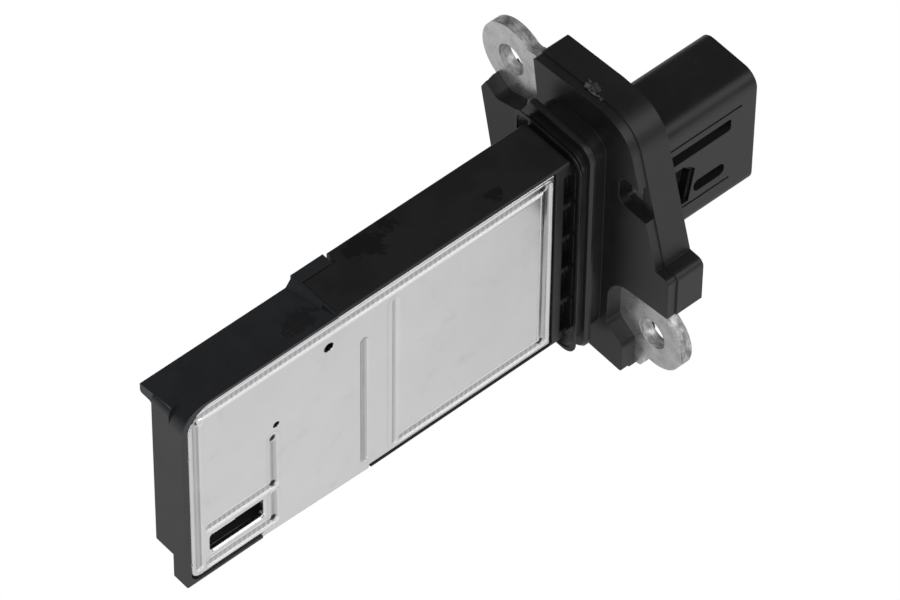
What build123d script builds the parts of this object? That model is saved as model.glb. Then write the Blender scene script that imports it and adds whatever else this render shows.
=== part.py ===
"""Plug-in mass airflow sensor, in millimetres.

X runs from the tip that reaches into the air duct to the connector. Z is up. Y is to the back,
so the metal base plate faces -Y. The origin is midway between the two screw holes, on the front
face of the steel ears, where the screws clamp the flange.
"""

from build123d import *
from math import radians, tan
import os

# Screw ears and the stamped steel plate that they belong to
SCREW_HOLE_DIAMETER = 4.5
SCREW_HOLE_Y = 13.45
SCREW_HOLE_Z = 13.8
EAR_RADIUS = 5.3
EAR_SHEET = 1.8
EAR_BLEND_RADIUS = 1.2
INSERT_HALF_WIDTH = 11.2
INSERT_TOP = 18.4
INSERT_BOTTOM = 21.9
INSERT_TOP_Y = 6.5
INSERT_TOP_SETBACK = 4.15
INSERT_SHOULDER_Y = 15.8
INSERT_SHOULDER_Z = 8.0
INSERT_SHOULDER_SETBACK = 0.6
INSERT_CORNER_RADIUS = 1.0
INSERT_END_RADIUS = 1.5
INSERT_WINDOW_MARGIN = 0.9

# Moulded flange
FLANGE_FRONT = 2.2
FRONT_LAYER = 1.35
BACK_LAYER = 4.15
PARTING_STEP = 0.22
FLANGE_HALF_HEIGHT = 22.3
FLANGE_TOP_LEFT_Y = 7.1
FLANGE_TOP_LEFT_Z = 21.4
FLANGE_CROWN_Y = 3.0
FLANGE_CORNER_Y = 9.8
FLANGE_CORNER_RADIUS = 5.5
FLANGE_WAIST_Y = 15.8
FLANGE_WAIST_Z = 1.9
FLANGE_HORN_Y = 16.4
FLANGE_HORN_Z = 8.0
FLANGE_FOOT_Y = 10.6
BLOCK_Y = 18.2
BLOCK_BOTTOM_Z = 5.3
BLOCK_CORNER_RADIUS = 0.8
SHARP_CORNER_RADIUS = 0.5
RELIEF_INNER_Y = 8.8
RELIEF_LOW_Z = 9.0
RELIEF_HIGH_Z = 13.8
RELIEF_TOP_RADIUS = 1.6
RELIEF_LOW_RADIUS = 1.2
SIGHT_MARGIN = 0.45

# Ear pockets, measured from the centre of the screw hole unless a face stops them
POCKET_WALL = 5.85
POCKET_EDGE_RADIUS = 4.4
POCKET_SLANT = 1.1
POCKET_FOOT_TOP = 1.6
POCKET_FOOT_BOTTOM = 3.6
POCKET_FOOT_RADIUS = 1.2
POCKET_LEAN = 0.9
POCKET_LEAN_TOP = 1.4
POCKET_SEAT_Y = 4.25
POCKET_SEAT_Z = 4.2
POCKET_SEAT_DEPTH = 5.6
POCKET_HORN_Y = 2.1
POCKET_HORN_Z = 4.3
POCKET_CORNER_RADIUS = 1.5

# Probe that stands in the air stream
PROBE_FRONT_Y = -5.45
PROBE_THICKNESS = 8.35
PROBE_TOP = 16.85
PROBE_BOTTOM = -16.35
PROBE_EDGE_RADIUS = 0.35
PROBE_ROOT = 7.2
HOUSING_END = 40.5
HOUSING_HOOD = 3.0
HOOD_THICKNESS = 1.6
LAP_STEP_Y = 1.1
LAP_LENGTH = 2.1
LAP_GAP = 0.6
JOINT_CLEARANCE = 0.1

# Neck with the flange seal
NECK_MIDDLE_Y = -1.05
NECK_WIDTH = 8.9
NECK_HEIGHT = 31.9
NECK_CORNER_RADIUS = 1.2
COLLAR_LENGTH = 2.05
COLLAR_SIDE_OVERHANG = 0.8
COLLAR_END_OVERHANG = 1.8
RIM_POCKET_PITCH = 6.0
RIM_POCKET_COUNT = 5
RIM_POCKET_HEIGHT = 5.2
RIM_POCKET_DEPTH = 1.4
RIM_POCKET_START = 8.1
RIM_POCKET_END = 6.3
SEAL_DROP = 0.75
SEAL_LENGTH = 1.65
SEAL_SIDE_BASE = 0.7
SEAL_END_BASE = 1.65
FRONT_LIP_CREST = 0.15
FRONT_LIP_REACH = 0.85
FRONT_LIP_ANGLE = 46.0
FRONT_LIP_WALL = 0.4
REAR_LIP_SIDE = 1.6
REAR_LIP_END = 3.05
REAR_LIP_CREST = 0.4
REAR_LIP_FLANK = 0.35
REAR_LIP_BACK_FLANK = 0.1
REAR_LIP_SETBACK = 0.1
REAR_LIP_ANGLE = 40.0
SEAL_FRONT_RADIUS = 2.5
SEAL_BACK_RADIUS = 1.3

# Stamped aluminium base plate
PLATE_RECESS = 0.15
PLATE_THICKNESS = 0.9
PLATE_TIP = 66.7
PLATE_ROOT = 9.4
PLATE_TOP_MARGIN = 0.45
PLATE_BOTTOM_MARGIN = 0.45
PLATE_TIP_BOTTOM_MARGIN = 1.15
PLATE_INLET_START = 38.6
PLATE_INLET_END = 55.6
PLATE_INLET_DROP = 0.6
PLATE_INLET_TILT = 0.5
PLATE_TOP_RADIUS = 3.6
PLATE_BOTTOM_RADIUS = 1.5
PLATE_ROOT_RADIUS = 0.4
PLATE_EDGE_BEVEL = 0.25
PLATE_CLEARANCE = 0.1
WINDOW_LENGTH = 8.3
WINDOW_HEIGHT = 3.2
WINDOW_RADIUS = 0.5
WINDOW_FROM_DIVIDER = 5.7
VENT_DIAMETER = 1.5
VENT_X = 45.0
VENT_FROM_BEAD = 2.85
PILOT_DIAMETER = 1.0
PILOT_X = 53.2
PILOT_FROM_DIVIDER = 2.1
DIMPLE_DIAMETER = 0.7
DIMPLE_DEPTH = 0.3
DIMPLE_MARGIN = 0.55

# Pressed beads of the base plate: the middle lines that they follow
BEAD_WIDTH = 1.2
BEAD_DEPTH = 0.5
BEAD_FLANK_ANGLE = 38.0
BEAD_RIDGE = 0.3
BEAD_TIP_X = 65.4
BEAD_ROOT_X = 10.7
BEAD_TOP_MARGIN = 1.65
BEAD_BOTTOM_MARGIN = 1.5
BEAD_TIP_SHORTFALL = 1.0
BEAD_CHAMBER_X = 33.5
LONG_RIB_X = 34.5
LONG_RIB_SHORTFALL = 2.35
SHORT_RIB_X = 39.5
SHORT_RIB_SHORTFALL = 6.05
SHORT_RIB_RISE = 0.6
DIVIDER_X = 53.7
DIVIDER_TOP = 1.9
DIVIDER_BREAK = 2.0
OUTLET_TOP_Z = -7.0
OUTLET_RISE = 0.6
OUTLET_TIP_X = 63.7

# Sealant channels that the beads lie in
CHANNEL_WIDTH = 1.4
CHANNEL_DEPTH = 0.7

# Bypass: front frame and back cover at the tip
TIP_END = 67.6
FRAME_PROUD = 0.2
FRAME_BACK_Y = -3.1
TIP_ROOF_RISE = 0.15
TIP_ROOF_FALL = 1.35
TIP_ROOF_BACK_Y = 2.65
TIP_ROOF_END = 67.2
TIP_ROOF_THICKNESS = 1.5
TIP_COVE_RADIUS = 1.1
TIP_EDGE_RADIUS = 0.4
TIP_CORNER_RADIUS = 3.5
TIP_BOTTOM_MARGIN = 0.65
TIP_BOTTOM_END = 56.7
COVER_BACK_Y = 0.1
COVER_CORNER_RADIUS = 1.5
COVER_BOTTOM_MARGIN = 4.85
COVER_FLOOR = 1.0
COVER_INLET_MARGIN = 0.95
COLLAR_START = 44.0
COLLAR_RAMP = 0.95
COLLAR_PROUD = 0.1
PASSAGE_ROOF_WALL = 2.45
PASSAGE_TIP = 64.0
PASSAGE_RADIUS = 2.0
DIVIDER_WIDTH = 2.6
DIVIDER_END_RADIUS = 1.15
OUTLET_POCKET_MARGIN = 0.3
TROUGH_WALL = 1.0

# Circuit chamber of the housing
CHAMBER_TIP = 33.2
CHAMBER_ROOT = 12.0
CHAMBER_WALL = 0.85
CHAMBER_RADIUS = 1.2
TERMINAL_LEDGE = 2.7
PIN_LEDGE = 2.2
CIRCUIT_COVER_THICKNESS = 1.2
CIRCUIT_COVER_REBATE = 1.2
COVER_GLUE_GAP = 0.3
COVER_PAD_HEIGHT = 0.4
COVER_PAD_MARGIN = 3.0

# Ceramic circuit board and what stands on it
BOARD_THICKNESS = 0.8
BOARD_GLUE = 0.15
BOARD_EDGE_GAP = 0.4
CHIP_SIZE = 7.0
CHIP_HEIGHT = 1.2
TRANSISTOR_LENGTH = 5.0
TRANSISTOR_WIDTH = 4.0
TRANSISTOR_HEIGHT = 1.5
CAPACITOR_LENGTH = 2.0
CAPACITOR_WIDTH = 1.2
CAPACITOR_HEIGHT = 1.0
CAPACITOR_COUNT = 4
CAPACITOR_PITCH = 3.0
RESISTOR_LENGTH = 1.6
RESISTOR_WIDTH = 0.8
RESISTOR_HEIGHT = 0.45
RESISTOR_COUNT = 5
RESISTOR_PITCH = 2.4
LEAD_THICKNESS = 0.25
LEAD_WIDTH = 0.5
LEAD_RISE = 0.6

# Connector
CONNECTOR_END = 23.4
CONNECTOR_MIDDLE_Y = -0.6
CONNECTOR_WIDTH = 10.2
CONNECTOR_HEIGHT = 20.4
CONNECTOR_RADIUS = 2.3
CONNECTOR_WALL = 1.3
LATCH_WALL = 2.3
SOCKET_DEPTH = 14.0
SOCKET_RADIUS = 1.2
TERMINAL_COUNT = 6
TERMINAL_PITCH = 2.6
TERMINAL_THICKNESS = 0.64
TERMINAL_WIDTH = 1.0
TERMINAL_BODY_WIDTH = 1.5
TERMINAL_REACH = 8.0
TERMINAL_POINT = 0.9
TERMINAL_POINT_WIDTH = 0.4

# Slots, latch window and grooves in the -Y face of the connector
UPPER_SLOT_Z = 4.15
UPPER_SLOT_END = 19.3
UPPER_SLOT_RADIUS = 0.4
LOWER_SLOT_Z = -3.35
LOWER_SLOT_START = 13.4
LOWER_SLOT_END = 18.5
LOWER_SLOT_RADIUS = 0.9
LATCH_SLOT_HEIGHT = 2.1
LATCH_SLOT_DEPTH = 1.3
LATCH_WINDOW_TOP = 1.9
LATCH_WINDOW_BOTTOM = -5.2
LATCH_WINDOW_END = 13.5
LATCH_WINDOW_CORNER = 1.6
LATCH_WINDOW_LEAN = 0.9
LATCH_WINDOW_DEPTH = 1.8
LATCH_LEDGE_WIDTH = 0.35
LATCH_LEDGE_DEPTH = 0.5
KEY_GROOVE_Z = 6.45
KEY_GROOVE_WIDTH = 0.35
KEY_GROOVE_DEPTH = 0.5
KEY_GROOVE_END = 21.0
LOW_GROOVE_Z = -5.8
LOW_GROOVE_START = 11.4
LOW_GROOVE_END = 19.4

# Sensing elements in the bypass
SENSOR_PIN_SIZE = 0.6
SENSOR_PIN_REACH = 6.0
SENSOR_PIN_Y = -2.6
SENSOR_PIN_SPACING = 3.8
SENSOR_PAIR_PITCH = 7.2
SENSOR_PAIR_COUNT = 3
SENSOR_ROW_Z = -1.1
ELEMENT_WIRE_DIAMETER = 0.24
ELEMENT_SETBACK = 0.6
HEATER_DIAMETER = 0.7
HEATER_LENGTH = 2.0
REFERENCE_DIAMETER = 0.9
REFERENCE_LENGTH = 2.4
THERMISTOR_DIAMETER = 1.3
THERMISTOR_LENGTH = 1.5

# Places that follow from the sizes above
HOLE_RADIUS = SCREW_HOLE_DIAMETER / 2
FLANGE_BACK = FRONT_LAYER + BACK_LAYER - FLANGE_FRONT
PARTING_X = FRONT_LAYER - FLANGE_FRONT
PROBE_BACK_Y = PROBE_FRONT_Y + PROBE_THICKNESS
PROBE_HEIGHT = PROBE_TOP - PROBE_BOTTOM
NECK_FRONT_Y = NECK_MIDDLE_Y - NECK_WIDTH / 2
SEAL_END = FLANGE_FRONT + COLLAR_LENGTH
SEAL_START = SEAL_END + SEAL_LENGTH
PLATE_OUTER_Y = PROBE_FRONT_Y + PLATE_RECESS
PLATE_INNER_Y = PLATE_OUTER_Y + PLATE_THICKNESS
PLATE_TOP = PROBE_TOP - PLATE_TOP_MARGIN
PLATE_BOTTOM = PROBE_BOTTOM + PLATE_BOTTOM_MARGIN
PLATE_TIP_BOTTOM = PROBE_BOTTOM + PLATE_TIP_BOTTOM_MARGIN
BEAD_TOP_Z = PLATE_TOP - BEAD_TOP_MARGIN
BEAD_BOTTOM_Z = PLATE_BOTTOM + BEAD_BOTTOM_MARGIN
OUTLET_BOTTOM_Z = BEAD_BOTTOM_Z + OUTLET_RISE
WINDOW_CENTRE_X = DIVIDER_X + WINDOW_FROM_DIVIDER
WINDOW_CENTRE_Z = (OUTLET_TOP_Z + OUTLET_BOTTOM_Z) / 2
CHANNEL_FLOOR_Y = PLATE_INNER_Y + CHANNEL_DEPTH
FRAME_FRONT_Y = PLATE_OUTER_Y - FRAME_PROUD
FRAME_END = HOUSING_END + JOINT_CLEARANCE
HOOD_END = HOUSING_END + HOUSING_HOOD
HOOD_UNDERSIDE = PROBE_TOP - HOOD_THICKNESS
LAP_END = HOUSING_END - LAP_LENGTH
TIP_ROOF_FRONT = PROBE_TOP + TIP_ROOF_RISE
TIP_ROOF_BACK = TIP_ROOF_FRONT - TIP_ROOF_FALL
TIP_ROOF_SLOPE = TIP_ROOF_FALL / (TIP_ROOF_BACK_Y - FRAME_FRONT_Y)
TIP_BOTTOM = PROBE_BOTTOM + TIP_BOTTOM_MARGIN
COVER_BOTTOM = PROBE_BOTTOM + COVER_BOTTOM_MARGIN
COVER_INLET_BOTTOM = PROBE_BOTTOM + COVER_INLET_MARGIN
PASSAGE_TOP = TIP_ROOF_BACK - PASSAGE_ROOF_WALL
CHAMBER_TOP = BEAD_TOP_Z - CHANNEL_WIDTH / 2 - CHAMBER_WALL
CHAMBER_BOTTOM = BEAD_BOTTOM_Z + CHANNEL_WIDTH / 2 + CHAMBER_WALL
CHAMBER_MIDDLE_Z = (CHAMBER_TOP + CHAMBER_BOTTOM) / 2
CONNECTOR_FRONT_Y = CONNECTOR_MIDDLE_Y - CONNECTOR_WIDTH / 2
CONNECTOR_BACK_Y = CONNECTOR_MIDDLE_Y + CONNECTOR_WIDTH / 2
SOCKET_FRONT_Y = CONNECTOR_FRONT_Y + LATCH_WALL
SOCKET_BACK_Y = CONNECTOR_BACK_Y - CONNECTOR_WALL
SOCKET_MIDDLE_Y = (SOCKET_FRONT_Y + SOCKET_BACK_Y) / 2
SOCKET_HALF_HEIGHT = CONNECTOR_HEIGHT / 2 - CONNECTOR_WALL
SOCKET_FLOOR = CONNECTOR_END - SOCKET_DEPTH
TERMINAL_FRONT_Y = SOCKET_MIDDLE_Y - TERMINAL_THICKNESS / 2
TERMINAL_BACK_Y = SOCKET_MIDDLE_Y + TERMINAL_THICKNESS / 2
BOARD_FRONT_Y = PLATE_INNER_Y + BOARD_GLUE
BOARD_BACK_Y = BOARD_FRONT_Y + BOARD_THICKNESS
BOARD_TIP = CHAMBER_TIP - BOARD_EDGE_GAP
BOARD_ROOT = CHAMBER_ROOT + TERMINAL_LEDGE + BOARD_EDGE_GAP
BOARD_TOP = CHAMBER_TOP - BOARD_EDGE_GAP
BOARD_BOTTOM = CHAMBER_BOTTOM + BOARD_EDGE_GAP
COVER_RECESS_Y = PROBE_BACK_Y - CIRCUIT_COVER_THICKNESS - COVER_GLUE_GAP
SENSOR_PIN_BACK_Y = SENSOR_PIN_Y + SENSOR_PIN_SIZE / 2
SENSOR_PIN_FRONT_Y = SENSOR_PIN_Y - SENSOR_PIN_SIZE / 2
TERMINAL_PLACES = [(i - (TERMINAL_COUNT - 1) / 2) * TERMINAL_PITCH for i in range(TERMINAL_COUNT)]
SENSOR_PAIR_PLACES = [
    SENSOR_ROW_Z + ((SENSOR_PAIR_COUNT - 1) / 2 - i) * SENSOR_PAIR_PITCH
    for i in range(SENSOR_PAIR_COUNT)
]
SENSOR_PIN_PLACES = [
    middle + side * SENSOR_PIN_SPACING / 2 for middle in SENSOR_PAIR_PLACES for side in (1, -1)
]


def rounded(points):
    """A closed outline through (u, v, corner radius) points."""
    corners = [(u, v) for u, v, _ in points]
    radii = [r for _, _, r in points]
    return make_face(FilletPolyline(*corners, radius=radii, close=True))


def rounded_rectangle(low_u, low_v, high_u, high_v, radius):
    """A rectangle between two corners, with its corners rounded."""
    sketch = RectangleRounded(high_u - low_u, high_v - low_v, radius)
    return Pos((low_u + high_u) / 2, (low_v + high_v) / 2) * sketch


def along_x(sketch, low, high, taper=0.0):
    """Extrudes a sketch drawn in (y, z) from x = low to x = high."""
    return extrude(Plane.YZ.offset(low) * sketch, amount=high - low, taper=taper)


def along_y(sketch, low, high, taper=0.0):
    """Extrudes a sketch drawn in (x, z) from y = high forward to y = low."""
    return extrude(Plane.XZ.offset(-high) * sketch, amount=high - low, taper=taper)


def block(low, high):
    """A box between two corners."""
    size = [b - a for a, b in zip(low, high)]
    middle = [(a + b) / 2 for a, b in zip(low, high)]
    return Pos(*middle) * Box(*size)


def screw_hole_places():
    """The two diagonal screw holes, as (y, z)."""
    return ((SCREW_HOLE_Y, SCREW_HOLE_Z), (-SCREW_HOLE_Y, -SCREW_HOLE_Z))


def neck_profile(side, end, radius=NECK_CORNER_RADIUS):
    """The neck's cross-section in (y, z), grown at its broad sides and at its ends."""
    width = NECK_WIDTH + 2 * side
    height = NECK_HEIGHT + 2 * end
    return Pos(NECK_MIDDLE_Y, 0) * RectangleRounded(width, height, radius)


def seal_profile(side, end):
    """The rubber's cross-section, which hangs a little lower than the neck."""
    half_width = NECK_WIDTH / 2 + side
    half_height = NECK_HEIGHT / 2 + end
    front, back = NECK_MIDDLE_Y - half_width, NECK_MIDDLE_Y + half_width
    return Pos(0, -SEAL_DROP) * rounded([
        (front, half_height, SEAL_FRONT_RADIUS),
        (back, half_height, SEAL_BACK_RADIUS),
        (back, -half_height, SEAL_BACK_RADIUS),
        (front, -half_height, SEAL_FRONT_RADIUS),
    ])


def probe_profile():
    """The housing's cross-section in the air stream, in (y, z)."""
    return rounded_rectangle(
        PROBE_FRONT_Y, PROBE_BOTTOM, PROBE_BACK_Y, PROBE_TOP, PROBE_EDGE_RADIUS
    )


# Steel mounting plate


def insert_outline():
    """The stamped plate round the neck, with a shoulder that reaches out to each ear."""
    slope_z = INSERT_SHOULDER_Z + EAR_RADIUS / 2
    corner = INSERT_CORNER_RADIUS
    body = rounded([
        (SCREW_HOLE_Y - INSERT_TOP_SETBACK, INSERT_TOP, 0),
        (-INSERT_TOP_Y, INSERT_TOP, INSERT_END_RADIUS),
        (-INSERT_HALF_WIDTH, slope_z, corner),
        (-INSERT_HALF_WIDTH, FLANGE_WAIST_Z, corner),
        (-INSERT_SHOULDER_Y, -INSERT_SHOULDER_Z / 2, corner),
        (-INSERT_SHOULDER_Y, -INSERT_SHOULDER_Z, SHARP_CORNER_RADIUS),
        (-SCREW_HOLE_Y, -SCREW_HOLE_Z, 0),
        (-FLANGE_FOOT_Y - EAR_BLEND_RADIUS, -INSERT_BOTTOM, corner),
        (INSERT_TOP_Y, -INSERT_BOTTOM + INSERT_END_RADIUS, INSERT_END_RADIUS),
        (INSERT_HALF_WIDTH, -slope_z, corner),
        (INSERT_HALF_WIDTH, -FLANGE_WAIST_Z, corner),
        (INSERT_SHOULDER_Y - INSERT_SHOULDER_SETBACK, INSERT_SHOULDER_Z / 2, corner),
        (INSERT_SHOULDER_Y, INSERT_SHOULDER_Z, SHARP_CORNER_RADIUS),
        (SCREW_HOLE_Y, SCREW_HOLE_Z, 0),
    ])
    ears = [Pos(y, z) * Circle(EAR_RADIUS) for y, z in screw_hole_places()]
    blended = offset(body + ears, amount=EAR_BLEND_RADIUS)
    return offset(blended, amount=-EAR_BLEND_RADIUS)


def make_mounting_plate():
    outline = insert_outline()
    outline -= [Pos(y, z) * Circle(HOLE_RADIUS) for y, z in screw_hole_places()]
    outline -= neck_profile(-INSERT_WINDOW_MARGIN, -INSERT_WINDOW_MARGIN)
    return along_x(outline, 0, EAR_SHEET)


# Housing: probe, neck, flange and connector in one moulding


def flange_outline():
    """The flange without its ear pockets, in (y, z)."""
    return rounded([
        (FLANGE_TOP_LEFT_Y, FLANGE_TOP_LEFT_Z, SHARP_CORNER_RADIUS),
        (-FLANGE_CROWN_Y, FLANGE_HALF_HEIGHT, 0),
        (-FLANGE_CORNER_Y, FLANGE_HALF_HEIGHT, FLANGE_CORNER_RADIUS),
        (-FLANGE_WAIST_Y, FLANGE_WAIST_Z, 0),
        (-BLOCK_Y, FLANGE_WAIST_Z, BLOCK_CORNER_RADIUS),
        (-BLOCK_Y, -BLOCK_BOTTOM_Z, SHARP_CORNER_RADIUS),
        (-FLANGE_FOOT_Y, -BLOCK_BOTTOM_Z - 2 * POCKET_SLANT, 0),
        (-FLANGE_FOOT_Y, -FLANGE_HALF_HEIGHT, SHARP_CORNER_RADIUS),
        (FLANGE_CORNER_Y, -FLANGE_HALF_HEIGHT, FLANGE_CORNER_RADIUS),
        (FLANGE_HORN_Y, FLANGE_HORN_Z, BLOCK_CORNER_RADIUS),
        (SCREW_HOLE_Y, SCREW_HOLE_Z, 0),
        (FLANGE_TOP_LEFT_Y, SCREW_HOLE_Z, 0),
    ])


def lower_pocket():
    """The pocket that leaves the lower ear free, open towards -Y and down."""
    far_y = -BLOCK_Y - EAR_RADIUS
    far_z = -FLANGE_HALF_HEIGHT - EAR_RADIUS
    wall_y = -SCREW_HOLE_Y + POCKET_WALL
    return rounded([
        (far_y, -BLOCK_BOTTOM_Z + POCKET_SLANT, 0),
        (wall_y, -BLOCK_BOTTOM_Z - POCKET_SLANT, POCKET_EDGE_RADIUS),
        (wall_y, -SCREW_HOLE_Z - POCKET_FOOT_TOP, POCKET_FOOT_RADIUS),
        (-FLANGE_FOOT_Y, -SCREW_HOLE_Z - POCKET_FOOT_BOTTOM, POCKET_FOOT_RADIUS),
        (-FLANGE_FOOT_Y, far_z, 0),
        (far_y, far_z, 0),
    ])


def upper_pocket():
    """The pocket that leaves the upper ear free, open upward and towards +Y."""
    far_y = FLANGE_HORN_Y + EAR_RADIUS
    far_z = FLANGE_HALF_HEIGHT + EAR_RADIUS
    corner = POCKET_CORNER_RADIUS
    return rounded([
        (FLANGE_TOP_LEFT_Y, far_z, 0),
        (FLANGE_TOP_LEFT_Y, FLANGE_TOP_LEFT_Z, 0),
        (FLANGE_TOP_LEFT_Y - POCKET_LEAN, SCREW_HOLE_Z + POCKET_LEAN_TOP, corner),
        (SCREW_HOLE_Y - POCKET_SEAT_Y, SCREW_HOLE_Z - POCKET_SEAT_Z, corner),
        (SCREW_HOLE_Y, SCREW_HOLE_Z - POCKET_SEAT_DEPTH, corner),
        (SCREW_HOLE_Y + POCKET_HORN_Y, SCREW_HOLE_Z - POCKET_HORN_Z, 0),
        (far_y, SCREW_HOLE_Z, 0),
        (far_y, far_z, 0),
    ])


def make_flange():
    outline = flange_outline()
    back = along_x(offset(outline, amount=PARTING_STEP), PARTING_X, FLANGE_BACK)
    front = along_x(outline, -FLANGE_FRONT, PARTING_X)
    flange = back + front
    for pocket in (lower_pocket(), upper_pocket()):
        flange -= along_x(pocket, -FLANGE_FRONT, FLANGE_BACK)
    relief = rounded([
        (-RELIEF_INNER_Y, RELIEF_HIGH_Z, RELIEF_TOP_RADIUS),
        (-RELIEF_INNER_Y, RELIEF_LOW_Z, RELIEF_LOW_RADIUS),
        (-BLOCK_Y, RELIEF_LOW_Z, 0),
        (-BLOCK_Y, RELIEF_HIGH_Z, 0),
    ])
    flange -= along_x(relief, -FLANGE_FRONT, PARTING_X)
    sight = rounded_rectangle(
        -INSERT_HALF_WIDTH - SIGHT_MARGIN,
        RELIEF_LOW_Z,
        -RELIEF_INNER_Y,
        RELIEF_HIGH_Z,
        SHARP_CORNER_RADIUS,
    )
    flange -= along_x(sight, PARTING_X, 0)
    return flange


def make_neck():
    """The neck between the probe and the flange, with the collar behind the seal."""
    neck = along_x(neck_profile(0, 0), -PROBE_ROOT, 0)
    collar = neck_profile(COLLAR_SIDE_OVERHANG, COLLAR_END_OVERHANG, SEAL_FRONT_RADIUS)
    return neck + along_x(collar, -SEAL_END, -FLANGE_FRONT)


def rim_pockets():
    """The row of pockets beside the seal, in the face that the base plate lies in."""
    pockets = Part()
    for i in range(RIM_POCKET_COUNT):
        middle = (i - (RIM_POCKET_COUNT - 1) / 2) * RIM_POCKET_PITCH
        pockets += block(
            (-RIM_POCKET_START, NECK_FRONT_Y, middle - RIM_POCKET_HEIGHT / 2),
            (-RIM_POCKET_END, NECK_FRONT_Y + RIM_POCKET_DEPTH, middle + RIM_POCKET_HEIGHT / 2),
        )
    return pockets


def make_probe():
    """The part of the housing that stands in the air stream."""
    probe = along_x(probe_profile(), -HOUSING_END, -PROBE_ROOT)
    lap = block(
        (-HOUSING_END, LAP_STEP_Y, -PROBE_HEIGHT),
        (-LAP_END, PROBE_BACK_Y + PROBE_EDGE_RADIUS, PROBE_HEIGHT),
    )
    probe -= lap
    hood = along_x(probe_profile(), -HOOD_END, -HOUSING_END)
    hood &= block(
        (-HOOD_END, PROBE_FRONT_Y, HOOD_UNDERSIDE),
        (-HOUSING_END, LAP_STEP_Y, PROBE_HEIGHT),
    )
    tongue = block(
        (-HOOD_END, COVER_BACK_Y + JOINT_CLEARANCE, COVER_INLET_BOTTOM),
        (-HOUSING_END, LAP_STEP_Y, HOOD_UNDERSIDE),
    )
    return probe + hood + tongue


def chamber_outline(tip, root):
    """The circuit chamber in (x, z), from one x to another."""
    return rounded_rectangle(-tip, CHAMBER_BOTTOM, -root, CHAMBER_TOP, CHAMBER_RADIUS)


def chamber_cut():
    """The circuit chamber, stepped so that the pads lie on ledges."""
    inner_root = CHAMBER_ROOT + TERMINAL_LEDGE
    outer_tip = CHAMBER_TIP + PIN_LEDGE
    cut = along_y(chamber_outline(CHAMBER_TIP, inner_root), PROBE_FRONT_Y, SENSOR_PIN_FRONT_Y)
    cut += along_y(chamber_outline(outer_tip, inner_root), SENSOR_PIN_FRONT_Y, TERMINAL_FRONT_Y)
    cut += along_y(chamber_outline(outer_tip, CHAMBER_ROOT), TERMINAL_FRONT_Y, PROBE_BACK_Y)
    return cut


def circuit_cover_outline(gap):
    """Outline of the back cover, or of its rebate with the gap added."""
    reach = CIRCUIT_COVER_REBATE + gap
    return offset(chamber_outline(CHAMBER_TIP + PIN_LEDGE, CHAMBER_ROOT), amount=reach)


def make_connector():
    """The shroud, solid up to the socket floor."""
    outline = RectangleRounded(CONNECTOR_WIDTH, CONNECTOR_HEIGHT, CONNECTOR_RADIUS)
    shroud = along_x(Pos(CONNECTOR_MIDDLE_Y, 0) * outline, 0, CONNECTOR_END)
    socket = rounded_rectangle(
        SOCKET_FRONT_Y, -SOCKET_HALF_HEIGHT, SOCKET_BACK_Y, SOCKET_HALF_HEIGHT, SOCKET_RADIUS
    )
    return shroud - along_x(socket, SOCKET_FLOOR, CONNECTOR_END)


def face_cut(outline, depth):
    """A cut from the -Y face of the connector down to a depth."""
    return along_y(outline, CONNECTOR_FRONT_Y, CONNECTOR_FRONT_Y + depth)


def latch_window(inset):
    """The window behind the latch tongue, with its slanted end moved in by the inset."""
    end = LATCH_WINDOW_END - inset
    top = LATCH_WINDOW_TOP - inset
    return make_face(Polyline(
        (FLANGE_BACK, LATCH_WINDOW_TOP - inset),
        (end - LATCH_WINDOW_CORNER, top),
        (end, top - LATCH_WINDOW_CORNER),
        (end - LATCH_WINDOW_LEAN, LATCH_WINDOW_BOTTOM),
        (FLANGE_BACK, LATCH_WINDOW_BOTTOM),
        close=True,
    ))


def latch_cuts():
    """Slots beside the latch tongue, the latch window and the two key grooves."""
    half = LATCH_SLOT_HEIGHT / 2
    upper = rounded_rectangle(
        FLANGE_BACK, UPPER_SLOT_Z - half, UPPER_SLOT_END, UPPER_SLOT_Z + half, UPPER_SLOT_RADIUS
    )
    lower = rounded_rectangle(
        LOWER_SLOT_START, LOWER_SLOT_Z - half, LOWER_SLOT_END, LOWER_SLOT_Z + half, LOWER_SLOT_RADIUS
    )
    cuts = face_cut(upper, LATCH_SLOT_DEPTH) + face_cut(lower, LATCH_SLOT_DEPTH)
    cuts += face_cut(latch_window(0), LATCH_LEDGE_DEPTH)
    cuts += face_cut(latch_window(LATCH_LEDGE_WIDTH), LATCH_WINDOW_DEPTH)
    for z, low, high in (
        (KEY_GROOVE_Z, FLANGE_BACK, KEY_GROOVE_END),
        (LOW_GROOVE_Z, LOW_GROOVE_START, LOW_GROOVE_END),
    ):
        cuts += block(
            (low, CONNECTOR_FRONT_Y, z - KEY_GROOVE_WIDTH / 2),
            (high, CONNECTOR_FRONT_Y + KEY_GROOVE_DEPTH, z + KEY_GROOVE_WIDTH / 2),
        )
    return cuts


def make_housing(inlays):
    housing = make_probe() + make_neck() + make_flange() + make_connector()
    housing -= latch_cuts()
    housing -= rim_pockets()
    recess = offset(plate_outline(), amount=PLATE_CLEARANCE)
    housing -= along_y(recess, PROBE_FRONT_Y, PLATE_INNER_Y)
    housing -= chamber_cut()
    housing -= along_y(circuit_cover_outline(COVER_GLUE_GAP), COVER_RECESS_Y, PROBE_BACK_Y)
    for inlay in inlays:
        housing -= inlay
    return housing


# Flange seal


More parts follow.
